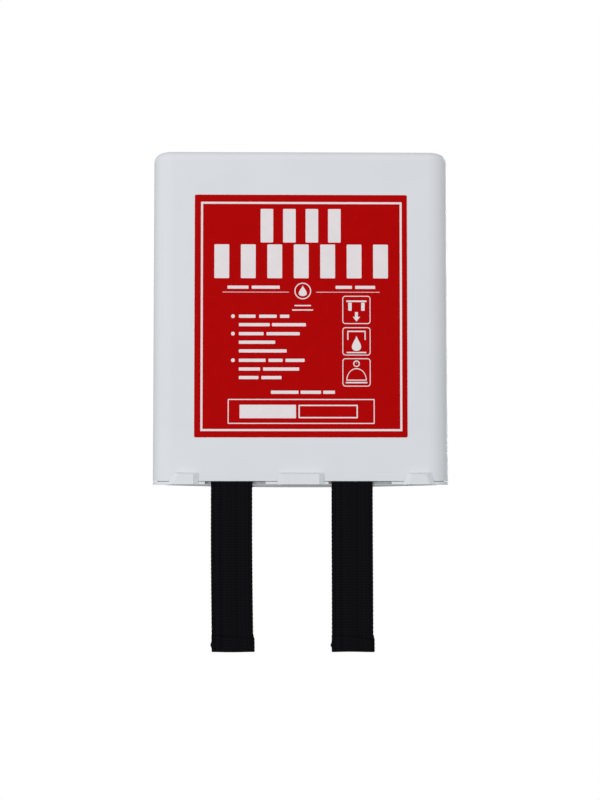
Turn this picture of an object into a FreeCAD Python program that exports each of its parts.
"""Wall-mounted fire blanket: a moulded case, its drop-down bottom flap and the folded blanket.

Millimetres. The origin is the centre of the case's wall face: y = 0 is the wall, the front of
the case looks towards -Y, X runs to the right as seen from the front, and Z is up.
"""
import FreeCAD, Part
import math
import os
import Sketcher

DOC = FreeCAD.newDocument("FireBlanket")

# Every driving size, in millimetres: its name in the sheet, its value and what it measures.
SIZES = [
    ("case_depth", 40.0, "wall to the front face of the cover"),
    ("case_top", 100.8, "origin up to the top of the cover"),
    ("cover_drop", 101.1, "origin down to the lower edge of the cover"),
    ("case_half_width", 90.4, "half the width of the cover"),
    ("corner_radius", 12.5, "upright front corners"),
    ("top_rounding", 6.0, "rounding round the edge of the top face"),
    ("wall", 2.0, "moulded wall of the cover"),
    ("catch_groove_drop", 98.9, "origin down to the lower side of the catch grooves"),
    ("catch_groove_height", 1.2, "height of the groove behind each hook"),
    ("catch_groove_depth", 0.4, "depth of the groove behind each hook"),
    ("snap_height", 55.0, "origin up or down to the middle of a snap lug"),
    ("snap_length", 14.0, "length of a snap lug"),
    ("snap_reach", 0.8, "how far a snap lug stands out of the plate"),
    ("snap_gap", 0.3, "room round a snap lug in its recess"),
    ("plate_thickness", 2.5, "back plate"),
    ("plate_gap", 0.3, "room between the back plate and the cover"),
    ("plate_drop", 98.0, "origin down to the lower edge of the back plate"),
    ("plate_corner", 5.5, "upper corners of the back plate"),
    ("screw_spacing", 100.0, "between the two wall screws"),
    ("screw_height", 60.0, "origin up to the wall screws"),
    ("screw_hole_radius", 2.25, "wall screw holes"),
    ("boss_radius", 7.0, "raised ring round each screw hole"),
    ("boss_height", 1.5, "raised ring round each screw hole"),
    ("rib_depth", 12.0, "ribs that hold the pack clear of the screw heads"),
    ("rib_thickness", 2.0, "ribs of the back plate"),
    ("rib_top", 85.0, "origin up to the top of the ribs"),
    ("rib_drop", 70.0, "origin down to the foot of the ribs"),
    ("hinge_depth", 4.0, "wall to the hinge axis"),
    ("hinge_drop", 101.8, "origin down to the hinge axis"),
    ("knuckle_radius", 2.1, "hinge knuckles"),
    ("knuckle_length", 15.0, "hinge knuckles"),
    ("knuckle_gap", 0.4, "end play between knuckles"),
    ("rod_radius", 1.0, "hinge rod"),
    ("running_gap", 0.05, "room round the rod in the flap's knuckles"),
    ("flap_gap", 0.3, "parting line between the cover and the flap"),
    ("flap_edge", 1.9, "thickness of the flap at its two ends"),
    ("flap_belly", 1.6, "how much further the flap bows down in the middle"),
    ("lip_slope_height", 1.85, "height of the slope under the flap's front edge"),
    ("lip_slope_depth", 3.2, "how far that slope runs back"),
    ("flap_rear_gap", 0.4, "room between the hinge rod and the flap's plate"),
    ("left_slot_width", 36.7, "left strap slot"),
    ("left_slot_centre", 39.7, "middle of the case to the middle of the left strap slot"),
    ("right_slot_width", 38.2, "right strap slot"),
    ("right_slot_centre", 35.8, "middle of the case to the middle of the right strap slot"),
    ("slot_recess", 1.45, "how deep the slots are sunk into the flap's lip"),
    ("slot_reach", 4.4, "how far the slots run back from the front edge"),
    ("lip_rib_height", 3.0, "ribs on the flap that sit inside the cover"),
    ("lip_rib_thickness", 1.0, "ribs on the flap that sit inside the cover"),
    ("rim_gap", 0.4, "room between the flap's end rims and the cover's side walls"),
    ("rim_start", 76.0, "middle of the case to the inner end of an end rim"),
    ("rim_rear", 7.5, "wall to the rear face of the end rims"),
    ("rim_front", 27.0, "wall to the front end of the end rims"),
    ("hook_height", 5.1, "how far a hook rises over the cover's front face"),
    ("hook_gap", 0.3, "room between a hook and the cover's front face"),
    ("hook_thickness", 2.4, "how far a hook stands out in front of that gap"),
    ("hook_bevel", 3.1, "sloping sides of a hook"),
    ("hook_top_bevel", 1.0, "sloping top of a hook"),
    ("hook_heel_bevel", 0.2, "sloping underside of a hook"),
    ("centre_hook_width", 28.2, "middle hook"),
    ("side_hook_width", 18.9, "outer hooks at the foot"),
    ("left_hook_lean", 4.2, "how much the left hook's outer side leans in towards the top"),
    ("right_hook_lean", 2.0, "how much each side of the right hook leans in towards the top"),
    ("side_hook_centre", 71.4, "middle of the case to the middle of an outer hook"),
    ("label_width", 129.4, "label on the front face"),
    ("label_height", 148.1, "label on the front face"),
    ("label_rise", -0.65, "origin up to the middle of the label"),
    ("label_thickness", 0.2, "label on the front face"),
    ("pack_width", 166.7, "folded blanket"),
    ("pack_thickness", 20.5, "folded blanket"),
    ("pack_top", 73.3, "origin up to the top of the folded blanket"),
    ("pack_drop", 93.4, "origin down to the underside of the folded blanket"),
    ("pack_rounding", 6.0, "outer folds of the blanket"),
    ("pack_heel", 10.0, "rear lower fold of the blanket"),
    ("tab_width", 25.0, "pull tab webbing"),
    ("tab_thickness", 1.2, "pull tab webbing"),
    ("tab_lane", 37.0, "wall to the middle of the webbing inside the case"),
    ("tab_front", 41.0, "wall to the middle of the webbing in front of the lip"),
    ("tab_exit_drop", 101.975, "origin down to the middle of the webbing in the slot"),
    ("tab_bend", 1.2, "radius of the bends in the webbing, to its middle"),
    ("tab_drop", 203.6, "origin down to the end of the pull tabs"),
    ("tab_gap", 0.25, "room between the hanging tab and the bend it swings on"),
    ("left_tab_offset", 41.9, "middle of the case to the middle of the left tab"),
    ("right_tab_offset", 30.9, "middle of the case to the middle of the right tab"),
    ("tab_hem", 8.8, "length of the sewn hem of a pull tab"),
    ("anchor_drop", 43.5, "origin down to the top of the webbing sewn to the blanket"),
    ("stitch_length", 2.2, "one stitch"),
    ("stitch_width", 0.5, "one stitch"),
    ("stitch_height", 0.2, "how far a stitch stands proud of the webbing"),
    ("stitch_pitch", 3.2, "from one stitch to the next"),
]


def make_sheet():
    """The spreadsheet of driving sizes: a plain number, its alias and what it is."""
    sheet = DOC.addObject("Spreadsheet::Sheet", "Sizes")
    for row, (alias, number, meaning) in enumerate(SIZES, start=1):
        sheet.set(f"A{row}", alias)
        sheet.set(f"B{row}", str(number))
        sheet.set(f"C{row}", meaning)
        sheet.setAlias(f"B{row}", alias)
    DOC.recompute()
    return sheet


class Length:
    """A size that carries both its number and the sheet formula that gives it."""

    def __init__(self, number, formula):
        self.number = number
        self.formula = formula

    def __add__(self, other):
        other = as_length(other)
        return Length(self.number + other.number, f"({self.formula} + {other.formula})")

    def __sub__(self, other):
        other = as_length(other)
        return Length(self.number - other.number, f"({self.formula} - {other.formula})")

    def __mul__(self, factor):
        factor = as_length(factor)
        return Length(self.number * factor.number, f"({self.formula} * {factor.formula})")

    def __truediv__(self, divisor):
        divisor = as_length(divisor)
        return Length(self.number / divisor.number, f"({self.formula} / {divisor.formula})")

    def __neg__(self):
        return self * -1.0


def as_length(value):
    """A plain number as a Length, so that both can be mixed in a formula."""
    if isinstance(value, Length):
        return value
    return Length(float(value), f"({float(value)})")


SHEET = make_sheet()
S = {alias: Length(SHEET.get(alias), f"Sizes.{alias}") for alias, _, _ in SIZES}
NOTHING = as_length(0.0)


# ---------------------------------------------------------------- drawing helpers

def bind(thing, path, value):
    """Set one size of an object by its formula in the sheet."""
    thing.setExpression(path, as_length(value).formula)


def new_body(name):
    body = DOC.addObject("PartDesign::Body", name)
    body.Label = name
    return body


def new_sketch(body, name, role, offset):
    """A sketch parallel to one of the body's own origin planes, moved along its normal."""
    sketch = body.newObject("Sketcher::SketchObject", name)
    planes = [plane for plane in body.Origin.OriginFeatures if plane.Role == role]
    sketch.AttachmentSupport = (planes[0], [""])
    sketch.MapMode = "FlatFace"
    offset = as_length(offset)
    sketch.AttachmentOffset = FreeCAD.Placement(
        FreeCAD.Vector(0, 0, offset.number), FreeCAD.Rotation())
    bind(sketch, "AttachmentOffset.Base.z", offset)
    return sketch


def constrain(sketch, kind, *where, value):
    """Add one dimension to a sketch and bind it to the sheet."""
    value = as_length(value)
    index = sketch.addConstraint(Sketcher.Constraint(kind, *where, value.number))
    sketch.setExpression(f"Constraints[{index}]", value.formula)


def arc_between(start, end, radius, turn):
    """The short arc from start to end; turn is +1 for anticlockwise and -1 for clockwise."""
    chord = end - start
    half = chord.Length / 2
    sagitta_side = FreeCAD.Vector(-chord.y, chord.x, 0).normalize() * turn
    centre = start + chord / 2 + sagitta_side * math.sqrt(max(radius ** 2 - half ** 2, 0.0))
    first, last = (start, end) if turn > 0 else (end, start)
    angles = [math.atan2(point.y - centre.y, point.x - centre.x) for point in (first, last)]
    circle = Part.Circle(centre, FreeCAD.Vector(0, 0, 1), radius)
    return Part.ArcOfCircle(circle, angles[0], angles[1])


def draw_outline(sketch, corners, arcs=None):
    """A closed outline through the corners, each placed by its two distances from the origin.

    arcs maps a corner's number to the radius and turn of the arc that leaves it.
    """
    arcs = arcs or {}
    points = [[as_length(u), as_length(v)] for u, v in corners]
    vectors = [FreeCAD.Vector(u.number, v.number, 0) for u, v in points]
    count = len(vectors)
    first = sketch.GeometryCount
    ends = []
    for index, start in enumerate(vectors):
        end = vectors[(index + 1) % count]
        if index in arcs:
            radius, turn = arcs[index]
            edge = sketch.addGeometry(arc_between(start, end, as_length(radius).number, turn))
            ends.append((edge, 1, 2) if turn > 0 else (edge, 2, 1))
        else:
            edge = sketch.addGeometry(Part.LineSegment(start, end))
            ends.append((edge, 1, 2))
    for index in range(count):
        edge, start_point, end_point = ends[index]
        following = ends[(index + 1) % count]
        sketch.addConstraint(Sketcher.Constraint(
            "Coincident", edge, end_point, following[0], following[1]))
        constrain(sketch, "DistanceX", -1, 1, edge, start_point, value=points[index][0])
        constrain(sketch, "DistanceY", -1, 1, edge, start_point, value=points[index][1])
        if index in arcs:
            constrain(sketch, "Radius", first + index, value=arcs[index][0])
    return sketch


def draw_rectangle(sketch, low, high):
    """A rectangle from its low corner to its high corner."""
    corners = [low, (high[0], low[1]), high, (low[0], high[1])]
    return draw_outline(sketch, corners)


def draw_circle(sketch, centre, radius):
    centre = [as_length(value) for value in centre]
    radius = as_length(radius)
    middle = FreeCAD.Vector(centre[0].number, centre[1].number, 0)
    circle = Part.Circle(middle, FreeCAD.Vector(0, 0, 1), radius.number)
    edge = sketch.addGeometry(circle)
    constrain(sketch, "DistanceX", -1, 1, edge, 3, value=centre[0])
    constrain(sketch, "DistanceY", -1, 1, edge, 3, value=centre[1])
    constrain(sketch, "Radius", edge, value=radius)
    return sketch


def add_pad(body, name, sketch, length):
    pad = body.newObject("PartDesign::Pad", name)
    pad.Profile = sketch
    pad.Length = as_length(length).number
    bind(pad, "Length", length)
    return pad


def add_pocket(body, name, sketch, length):
    """A pocket that cuts the way a pad would grow, checked by the volume it takes away."""
    DOC.recompute()
    before = body.Shape.Volume
    pocket = body.newObject("PartDesign::Pocket", name)
    pocket.Profile = sketch
    pocket.Reversed = True
    pocket.Length = as_length(length).number
    bind(pocket, "Length", length)
    DOC.recompute()
    if not body.Shape.Volume < before - 1e-6:
        raise RuntimeError(f"{name} cuts nothing")
    return pocket


def add_loft(body, name, kind, sketches):
    loft = body.newObject(f"PartDesign::{kind}Loft", name)
    loft.Profile = sketches[0]
    loft.Sections = sketches[1:]
    return loft


def add_fillet(body, name, feature, is_wanted, radius):
    """Round the edges of a feature that pass the test."""
    DOC.recompute()
    edges = [f"Edge{number}" for number, edge in enumerate(feature.Shape.Edges, start=1)
             if is_wanted(edge)]
    fillet = body.newObject("PartDesign::Fillet", name)
    fillet.Base = (feature, edges)
    fillet.Radius = as_length(radius).number
    bind(fillet, "Radius", radius)
    return fillet


def lies_at_height(edge, height, margin=1e-3):
    return all(abs(vertex.Z - height.number) < margin for vertex in edge.Vertexes)


def lies_at_depth(edge, depth, margin=1e-3):
    return all(abs(vertex.Y - depth.number) < margin for vertex in edge.Vertexes)


# ---------------------------------------------------------------- the case

def draw_case_section(sketch, half_width, radius, front, back):
    """The case seen from above: a straight back, two sides and a front with round corners."""
    corners = [
        (-half_width, back), (-half_width, front + radius),
        (-half_width + radius, front), (half_width - radius, front),
        (half_width, front + radius), (half_width, back),
    ]
    return draw_outline(sketch, corners, {1: (radius, 1), 3: (radius, 1)})


def make_front_cover():
    """Deep moulded cover with round front corners, open at the back and below."""
    body = new_body("front_cover")
    front = -S["case_depth"]
    wall = S["wall"]
    section = draw_case_section(
        new_sketch(body, "section", "XY_Plane", -S["cover_drop"]),
        S["case_half_width"], S["corner_radius"], front, NOTHING)
    outside = add_pad(body, "outside", section, S["case_top"] + S["cover_drop"])
    top = S["case_top"]
    add_fillet(body, "top_rounding", outside,
               lambda edge: lies_at_height(edge, top) and not lies_at_depth(edge, NOTHING),
               S["top_rounding"])

    beyond = as_length(1.0)
    ceiling = S["case_top"] - wall
    inner_section = draw_case_section(
        new_sketch(body, "inner_section", "XY_Plane", -S["cover_drop"] - beyond),
        S["case_half_width"] - wall, S["corner_radius"] - wall, front + wall, beyond)
    hollow = add_pocket(body, "hollow", inner_section, ceiling + S["cover_drop"] + beyond)
    add_fillet(body, "inner_rounding", hollow,
               lambda edge: lies_at_height(edge, ceiling) and not lies_at_depth(edge, NOTHING),
               S["top_rounding"] - wall)
    cut_catch_grooves(body)
    cut_snap_recesses(body)
    return body


def hook_places():
    """Each hook's name, its middle, its width at the foot and the lean of each of its sides."""
    right_lean = S["right_hook_lean"]
    return [
        ("left_hook", -S["side_hook_centre"], S["side_hook_width"],
         (S["left_hook_lean"], NOTHING)),
        ("centre_hook", NOTHING, S["centre_hook_width"], (NOTHING, NOTHING)),
        ("right_hook", S["side_hook_centre"], S["side_hook_width"], (right_lean, right_lean)),
    ]


def cut_catch_grooves(body):
    """A shallow groove across the front face behind each hook, for the hook's ridge."""
    sketch = new_sketch(body, "catch_grooves", "XZ_Plane",
                        S["case_depth"] - S["catch_groove_depth"])
    bottom = -S["catch_groove_drop"]
    for _, middle, width, (left_lean, right_lean) in hook_places():
        half = width / 2 - S["hook_bevel"]
        draw_rectangle(sketch, (middle - half + left_lean, bottom),
                       (middle + half - right_lean, bottom + S["catch_groove_height"]))
    add_pocket(body, "catch_groove_cut", sketch, S["catch_groove_depth"] + 1)


def snap_heights():
    return [S["snap_height"], -S["snap_height"]]


def cut_snap_recesses(body):
    """Four blind recesses in the side walls that take the back plate's snap lugs."""
    reach = S["case_half_width"] - S["wall"] + S["snap_reach"] + S["snap_gap"]
    sketch = new_sketch(body, "snap_recesses", "YZ_Plane", -reach)
    half = S["snap_length"] / 2 + S["snap_gap"]
    for height in snap_heights():
        draw_rectangle(sketch, (-S["plate_thickness"], height - half),
                       (-S["snap_gap"], height + half))
    add_pocket(body, "snap_recess_cut", sketch, reach * 2)


def make_back_plate():
    """Flat plate screwed to the wall; its lugs snap into the cover and it carries the hinge."""
    body = new_body("back_plate")
    upper = S["case_half_width"] - S["wall"] - S["plate_gap"]
    lower = S["case_half_width"] - S["wall"] - S["plate_gap"]
    top = S["case_top"] - S["wall"] - S["plate_gap"]
    corner = S["plate_corner"]
    outline = new_sketch(body, "plate_outline", "XZ_Plane", NOTHING)
    draw_outline(outline, [
        (-lower, -S["plate_drop"]), (lower, -S["plate_drop"]),
        (upper, top - corner), (upper - corner, top),
        (-upper + corner, top), (-upper, top - corner),
    ], {2: (corner, 1), 4: (corner, 1)})
    add_pad(body, "plate", outline, S["plate_thickness"])
    add_plate_ribs(body)
    add_snap_lugs(body)
    add_hinge_lugs(body)
    bosses = new_sketch(body, "screw_bosses", "XZ_Plane", S["plate_thickness"])
    holes = new_sketch(body, "screw_holes", "XZ_Plane", NOTHING)
    for side in (-1, 1):
        place = (S["screw_spacing"] / 2 * side, S["screw_height"])
        draw_circle(bosses, place, S["boss_radius"])
        draw_circle(holes, place, S["screw_hole_radius"])
    add_pad(body, "screw_boss", bosses, S["boss_height"])
    add_pocket(body, "screw_hole", holes, S["plate_thickness"] + S["boss_height"])
    return body


def add_plate_ribs(body):
    """Four upright ribs, evenly spaced, that the folded blanket rests against."""
    sketch = new_sketch(body, "rib_outlines", "XZ_Plane", S["plate_thickness"])
    spacing = S["pack_width"] / 4
    for step in (-1.5, -0.5, 0.5, 1.5):
        middle = spacing * step
        draw_rectangle(sketch, (middle - S["rib_thickness"] / 2, -S["rib_drop"]),
                       (middle + S["rib_thickness"] / 2, S["rib_top"]))
    add_pad(body, "ribs", sketch, S["rib_depth"])


def add_snap_lugs(body):
    """Two bars through the plate whose ends stand out of its edges as four snap lugs."""
    reach = S["case_half_width"] - S["wall"] + S["snap_reach"]
    sketch = new_sketch(body, "snap_lug_section", "YZ_Plane", -reach)
    half = S["snap_length"] / 2
    for height in snap_heights():
        draw_rectangle(sketch, (-S["plate_thickness"] + S["snap_gap"], height - half),
                       (-S["snap_gap"] * 2, height + half))
    add_pad(body, "snap_lugs", sketch, reach * 2)


def lug_starts():
    """Where the back plate's three hinge lugs begin along X: left, middle and right."""
    length = S["knuckle_length"]
    return [length * -5, length * -0.5, length * 4]


def knuckle_starts():
    """Where the flap's four knuckles begin: one inside each outer lug, two beside the middle."""
    length = S["knuckle_length"]
    gap = S["knuckle_gap"]
    return [length * -4 + gap, length * -1.5 - gap, length * 0.5 + gap, length * 3 - gap]


def add_hinge_lugs(body):
    """Three lugs that drop from the plate's lower edge and carry the hinge rod."""
    depth = -S["hinge_depth"]
    axis_height = -S["hinge_drop"]
    radius = S["knuckle_radius"]
    root = -S["plate_drop"] + 1
    for number, start in enumerate(lug_starts(), start=1):
        sketch = new_sketch(body, f"lug_section_{number}", "YZ_Plane", start)
        draw_outline(sketch, [
            (NOTHING, root), (-S["plate_thickness"], root),
            (depth - radius, axis_height), (depth, axis_height - radius),
            (depth + radius, axis_height), (NOTHING, axis_height + radius),
        ], {2: (radius, 1), 3: (radius, 1)})
        add_pad(body, f"lug_{number}", sketch, S["knuckle_length"])
    bore = new_sketch(body, "rod_seat", "YZ_Plane", -S["knuckle_length"] * 5)
    draw_circle(bore, (depth, axis_height), S["rod_radius"])
    add_pocket(body, "rod_seat_cut", bore, S["knuckle_length"] * 10)


def make_hinge_rod():
    """Steel rod through every knuckle."""
    rod = DOC.addObject("Part::Cylinder", "hinge_rod")
    rod.Label = "hinge_rod"
    rod.Placement.Rotation = FreeCAD.Rotation(FreeCAD.Vector(0, 1, 0), 90)
    bind(rod, "Radius", S["rod_radius"])
    bind(rod, "Height", S["knuckle_length"] * 10)
    bind(rod, "Placement.Base.x", -S["knuckle_length"] * 5)
    bind(rod, "Placement.Base.y", -S["hinge_depth"])
    bind(rod, "Placement.Base.z", -S["hinge_drop"])
    return rod


# ---------------------------------------------------------------- the bottom flap

def flap_top():
    return -S["cover_drop"] - S["flap_gap"]


def flap_rear():
    """Rear edge of the flap's plate, just in front of the hinge rod."""
    return S["hinge_depth"] + S["rod_radius"] + S["flap_rear_gap"]


def make_bottom_flap():
    """Flat lid over the whole underside, bowed a little, hooked over the cover in front."""
    body = new_body("bottom_flap")
    thickness = S["flap_edge"] + S["flap_belly"]
    outline = draw_case_section(
        new_sketch(body, "plate_outline", "XY_Plane", flap_top() - thickness),
        S["case_half_width"], S["corner_radius"], -S["case_depth"], -flap_rear())
    add_pad(body, "plate", outline, thickness)
    cut_bow(body)
    cut_lip_slope(body)
    add_lip_ribs(body)
    add_end_rims(body)
    add_knuckles(body)
    cut_strap_slots(body)
    for place in hook_places():
        add_hook(body, *place)
    return body


def cut_bow(body):
    """Take the underside away below a shallow arc that hangs lowest in the middle."""
    half = S["case_half_width"]
    belly = S["flap_belly"]
    bow_radius = (half * half + belly * belly) / (belly * 2)
    low_edge = flap_top() - S["flap_edge"]
    waste = new_sketch(body, "bow", "XZ_Plane", NOTHING)
    draw_outline(waste, [
        (-half, low_edge), (NOTHING, low_edge - belly), (half, low_edge),
        (half, low_edge - belly * 2), (-half, low_edge - belly * 2),
    ], {0: (bow_radius, 1), 1: (bow_radius, 1)})
    add_pocket(body, "bow_cut", waste, S["case_depth"] + 1)


def cut_lip_slope(body):
    """Slope the lower front edge back; it shows most in the middle, where the flap hangs low."""
    half = S["case_half_width"]
    front = -S["case_depth"]
    low = flap_top() - S["flap_edge"] - S["flap_belly"]
    sketch = new_sketch(body, "lip_slope", "YZ_Plane", -half)
    draw_outline(sketch, [
        (front, low + S["lip_slope_height"]), (front + S["lip_slope_depth"], low),
        (front + S["lip_slope_depth"], low - 1), (front - 1, low - 1),
        (front - 1, low + S["lip_slope_height"]),
    ])
    add_pocket(body, "lip_slope_cut", sketch, half * 2)


def add_lip_ribs(body):
    """Three low ribs behind the front edge that locate the shut flap inside the cover."""
    sketch = new_sketch(body, "lip_rib_outlines", "XY_Plane", flap_top() - 0.5)
    front = -S["case_depth"] + S["wall"] + S["hook_gap"] + 0.1
    half = S["knuckle_length"] / 2
    for middle in (-S["side_hook_centre"] + 3, NOTHING, S["side_hook_centre"] - 3):
        draw_rectangle(sketch, (middle - half, front),
                       (middle + half, front + S["lip_rib_thickness"]))
    add_pad(body, "lip_ribs", sketch, S["lip_rib_height"] + 0.5)


def add_end_rims(body):
    """An L-shaped rim near each end that closes the gap over the flap behind the lip."""
    sketch = new_sketch(body, "end_rim_outlines", "XY_Plane", flap_top() - 0.5)
    outer = S["case_half_width"] - S["wall"] - S["rim_gap"]
    inner = outer - S["lip_rib_thickness"]
    start = S["rim_start"]
    rear = -S["rim_rear"]
    bend = rear - S["lip_rib_thickness"]
    front = -S["rim_front"]
    for side in (-1, 1):
        draw_outline(sketch, [(start * side, rear), (outer * side, rear), (outer * side, front),
                              (inner * side, front), (inner * side, bend), (start * side, bend)])
    add_pad(body, "end_rims", sketch, S["lip_rib_height"] + 0.5)


def add_knuckles(body):
    """Clear the plate's rear edge round the lugs, then add the knuckles with their bores."""
    gap = S["knuckle_gap"]
    notch_front = -S["hinge_depth"] - S["knuckle_radius"] - gap
    notches = new_sketch(body, "lug_notches", "XY_Plane", -S["case_top"] - 10)
    for start in lug_starts():
        draw_rectangle(notches, (start - gap, notch_front),
                       (start + S["knuckle_length"] + gap, NOTHING))
    add_pocket(body, "lug_notch_cut", notches, S["case_top"])
    axis = (-S["hinge_depth"], -S["hinge_drop"])
    for number, start in enumerate(knuckle_starts(), start=1):
        sketch = new_sketch(body, f"knuckle_section_{number}", "YZ_Plane", start)
        draw_circle(sketch, axis, S["knuckle_radius"])
        add_pad(body, f"knuckle_{number}", sketch, S["knuckle_length"])
    bore = new_sketch(body, "bore", "YZ_Plane", -S["knuckle_length"] * 5)
    draw_circle(bore, axis, S["rod_radius"] + S["running_gap"])
    add_pocket(body, "bore_cut", bore, S["knuckle_length"] * 10)


def cut_strap_slots(body):
    """Two wide recesses in the front edge that let the pull tabs out over the lip."""
    sketch = new_sketch(body, "strap_slots", "XY_Plane", flap_top() - S["slot_recess"])
    for middle, width in ((-S["left_slot_centre"], S["left_slot_width"]),
                          (S["right_slot_centre"], S["right_slot_width"])):
        draw_rectangle(sketch, (middle - width / 2, -S["case_depth"] - 1),
                       (middle + width / 2, -S["case_depth"] + S["slot_reach"]))
    add_pocket(body, "strap_slot_cut", sketch, S["slot_recess"] + 1)


def add_hook(body, name, middle, width, leans):
    """A bevelled block standing up in front of the cover from a foot on the flap's lip."""
    half = width / 2
    left_lean, right_lean = leans
    bevel = S["hook_bevel"]
    back = S["case_depth"] + S["hook_gap"]
    crest = -S["cover_drop"] + S["hook_height"]
    heel = flap_top() - S["flap_edge"]
    foot = new_sketch(body, f"{name}_foot_outline", "XZ_Plane", S["case_depth"] - 1)
    draw_rectangle(foot, (middle - half, heel), (middle + half, flap_top()))
    add_pad(body, f"{name}_foot", foot, S["hook_gap"] + 1)
    base = new_sketch(body, f"{name}_base", "XZ_Plane", back)
    draw_outline(base, [(middle - half, heel), (middle + half, heel),
                        (middle + half - right_lean, crest),
                        (middle - half + left_lean, crest)])
    face = new_sketch(body, f"{name}_face", "XZ_Plane", back + S["hook_thickness"])
    low = heel + S["hook_heel_bevel"]
    high = crest - S["hook_top_bevel"]
    draw_outline(face, [(middle - half + bevel, low), (middle + half - bevel, low),
                        (middle + half - bevel - right_lean, high),
                        (middle - half + bevel + left_lean, high)])
    add_loft(body, f"{name}_block", "Additive", [base, face])
    ridge = new_sketch(body, f"{name}_ridge_outline", "XZ_Plane",
                       back - S["hook_gap"] * 0.8)
    ridge_low = -S["catch_groove_drop"] + S["catch_groove_height"] * 0.25
    reach = half - bevel - 0.5
    draw_rectangle(ridge, (middle - reach + left_lean, ridge_low),
                   (middle + reach - right_lean, ridge_low + S["catch_groove_height"] / 2))
    add_pad(body, f"{name}_ridge", ridge, S["hook_gap"])


# ---------------------------------------------------------------- label and blanket

def make_face_label():
    """Thin printed label on the cover's front face."""
    label = DOC.addObject("Part::Box", "face_label")
    label.Label = "face_label"
    bind(label, "Length", S["label_width"])
    bind(label, "Width", S["label_thickness"])
    bind(label, "Height", S["label_height"])
    bind(label, "Placement.Base.x", -S["label_width"] / 2)
    bind(label, "Placement.Base.y", -S["case_depth"] - S["label_thickness"])
    bind(label, "Placement.Base.z", S["label_rise"] - S["label_height"] / 2)
    return label


def make_blanket_pack():
    """The blanket folded flat: a pad with round folds, its rear lower fold the roundest."""
    body = new_body("blanket_pack")
    front = -S["tab_lane"] + S["tab_thickness"] / 2
    rear = front + S["pack_thickness"]
    low = -S["pack_drop"]
    top = S["pack_top"]
    soft = S["pack_rounding"]
    heel = S["pack_heel"]
    section = new_sketch(body, "pack_section", "YZ_Plane", -S["pack_width"] / 2)
    draw_outline(section, [
        (front, low + soft), (front + soft, low), (rear - heel, low), (rear, low + heel),
        (rear, top - soft), (rear - soft, top), (front + soft, top), (front, top - soft),
    ], {0: (soft, 1), 2: (heel, 1), 4: (soft, 1), 6: (soft, 1)})
    add_pad(body, "pack", section, S["pack_width"])
    round_pack_corners(body, front)
    return body


def round_pack_corners(body, front):
    """Take the sharp upright front corners off the pack, where the cover's corners are round."""
    half = S["pack_width"] / 2
    soft = S["pack_rounding"]
    waste = new_sketch(body, "corner_waste", "XY_Plane", -S["pack_drop"] - 1)
    for side, turn in ((-1, -1), (1, 1)):
        edge = half * side
        inner = (half - soft) * side
        draw_outline(waste, [(inner, front), (edge, front + soft), (edge + side, front + soft),
                             (edge + side, front - 1), (inner, front - 1)], {0: (soft, turn)})
    add_pocket(body, "corner_cut", waste, S["pack_top"] + S["pack_drop"] + 2)


def make_tab_anchor(name, middle):
    """Webbing sewn to the blanket: down behind the cover, under its edge and out of the slot."""
    body = new_body(name)
    half = S["tab_thickness"] / 2
    lane = -S["tab_lane"]
    front = -S["tab_front"]
    level = -S["tab_exit_drop"]
    bend = S["tab_bend"]
    top = -S["anchor_drop"]
    turn_height = level + bend
    section = new_sketch(body, "webbing_path", "YZ_Plane", middle - S["tab_width"] / 2)
    draw_outline(section, [
        (lane + half, top), (lane + half, turn_height), (lane - bend, level - half),
        (front, level - half), (front - half, level), (front, level + half),
        (lane - bend, level + half), (lane - half, turn_height), (lane - half, top),
    ], {1: (bend + half, -1), 3: (half, -1), 4: (half, -1), 6: (bend - half, 1)})
    add_pad(body, "webbing", section, S["tab_width"])
    return body


def make_pull_tab(name, middle):
    """Webbing that hangs in front of the flap, its end folded up in front and sewn."""
    body = new_body(name)
    half = S["tab_thickness"] / 2
    fold = S["tab_thickness"]
    front = -S["tab_front"]
    top = -S["tab_exit_drop"] - half - S["tab_gap"]
    low = -S["tab_drop"]
    section = new_sketch(body, "tab_section", "YZ_Plane", middle - S["tab_width"] / 2)
    draw_outline(section, [
        (front + half, top), (front - half, top), (front - half, low + S["tab_hem"]),
        (front - half - fold, low + S["tab_hem"]), (front - half - fold, low + fold),
        (front - half, low), (front + half, low + fold),
    ], {4: (fold, 1), 5: (fold, 1)})
    add_pad(body, "webbing", section, S["tab_width"])
    return body


def make_stitches(name, places, depth):
    """Separate stitches lying on the front of the webbing, each a small bar along X or Z."""
    long_side = S["stitch_length"].number
    short_side = S["stitch_width"].number
    height = S["stitch_height"].number
    bars = []
    for x, z, across in places:
        size_x, size_z = (long_side, short_side) if across else (short_side, long_side)
        corner = FreeCAD.Vector(x - size_x / 2, depth.number - height, z - size_z / 2)
        bars.append(Part.makeBox(size_x, height, size_z, corner))
    stitches = DOC.addObject("Part::Feature", name)
    stitches.Label = name
    stitches.Shape = Part.makeCompound(bars)
    return stitches


def stitch_line(start, end):
    """Middles of evenly pitched stitches along a straight seam, and whether it runs across."""
    run = math.dist(start, end)
    count = max(2, round(run / S["stitch_pitch"].number))
    across = abs(end[0] - start[0]) > abs(end[1] - start[1])
    places = []
    for index in range(count):
        share = (index + 0.5) / count
        places.append((start[0] + (end[0] - start[0]) * share,
                       start[1] + (end[1] - start[1]) * share, across))
    return places


SEAM_INSET = 2.0
SEWN_LENGTH = 40.0


def hem_seam(middle):
    """One seam across the hem of a pull tab, just below the raw edge."""
    half = S["tab_width"].number / 2 - SEAM_INSET
    height = -S["tab_drop"].number + S["tab_hem"].number - SEAM_INSET / 2
    return stitch_line((middle.number - half, height), (middle.number + half, height))


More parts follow.
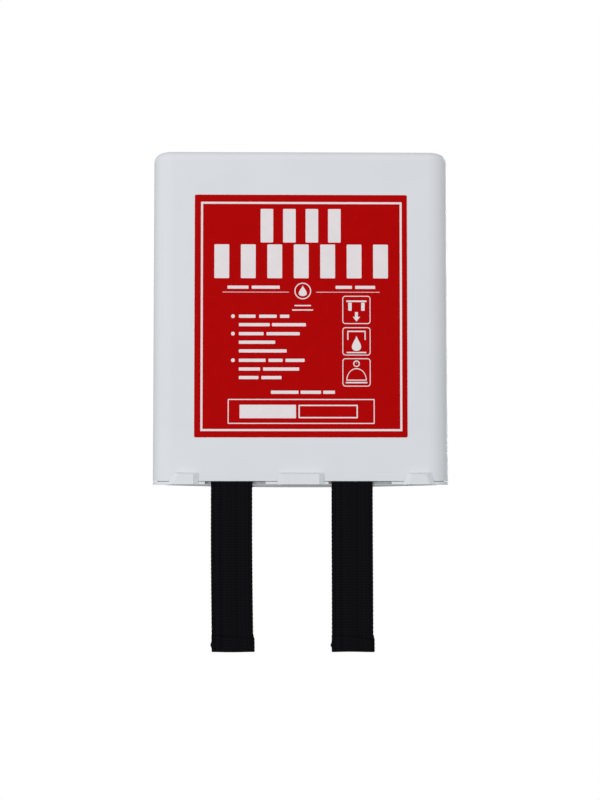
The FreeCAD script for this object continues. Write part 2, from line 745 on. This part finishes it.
def anchor_seams(middle):
    """A sewn box: two seams across the webbing and two along its edges."""
    half = S["tab_width"].number / 2 - SEAM_INSET
    top = -S["anchor_drop"].number - SEAM_INSET
    low = top - SEWN_LENGTH
    left, right = middle.number - half, middle.number + half
    gap = S["stitch_pitch"].number / 2
    return (stitch_line((left, top), (right, top)) + stitch_line((left, low), (right, low))
            + stitch_line((left, top - gap), (left, low + gap))
            + stitch_line((right, top - gap), (right, low + gap)))


def make_side(side, middle):
    """Everything sewn on one side: the anchor, the pull tab and the thread of both."""
    half = S["tab_thickness"] / 2
    hem_face = -S["tab_front"] - half - S["tab_thickness"]
    anchor_face = -S["tab_lane"] - half
    return [
        make_tab_anchor(f"tab_anchor_{side}", middle),
        make_stitches(f"anchor_stitching_{side}", anchor_seams(middle), anchor_face),
        make_pull_tab(f"pull_tab_{side}", middle),
        make_stitches(f"hem_stitching_{side}", hem_seam(middle), hem_face),
    ]


# ---------------------------------------------------------------- build, check and write

def check_document():
    """Stop if any object of the document failed to recompute."""
    for thing in DOC.Objects:
        if {"Invalid", "Error"} & set(thing.State):
            raise RuntimeError(f"{thing.Name}: {thing.State}")


def check_and_write(nodes):
    """Write each sub-part's STEP file once all of them are sound."""
    for node in nodes:
        if node.Shape.isNull() or not node.Shape.isValid():
            raise RuntimeError(f"{node.Label} has no valid shape")
    os.makedirs("parts", exist_ok=True)
    for node in nodes:
        node.Shape.exportStep(f"parts/{node.Label}.step")
        box = node.Shape.BoundBox
        print(f"{node.Label:24s} solids {len(node.Shape.Solids):3d}  volume {node.Shape.Volume:10.1f}"
              f"  x {box.XMin:7.2f} {box.XMax:7.2f}  y {box.YMin:7.2f} {box.YMax:7.2f}"
              f"  z {box.ZMin:8.2f} {box.ZMax:8.2f}")


NODES = [make_front_cover(), make_back_plate(), make_hinge_rod(), make_bottom_flap(),
         make_face_label(), make_blanket_pack()]
NODES += make_side("left", -S["left_tab_offset"])
NODES += make_side("right", S["right_tab_offset"])
DOC.recompute()
check_document()
check_and_write(NODES)
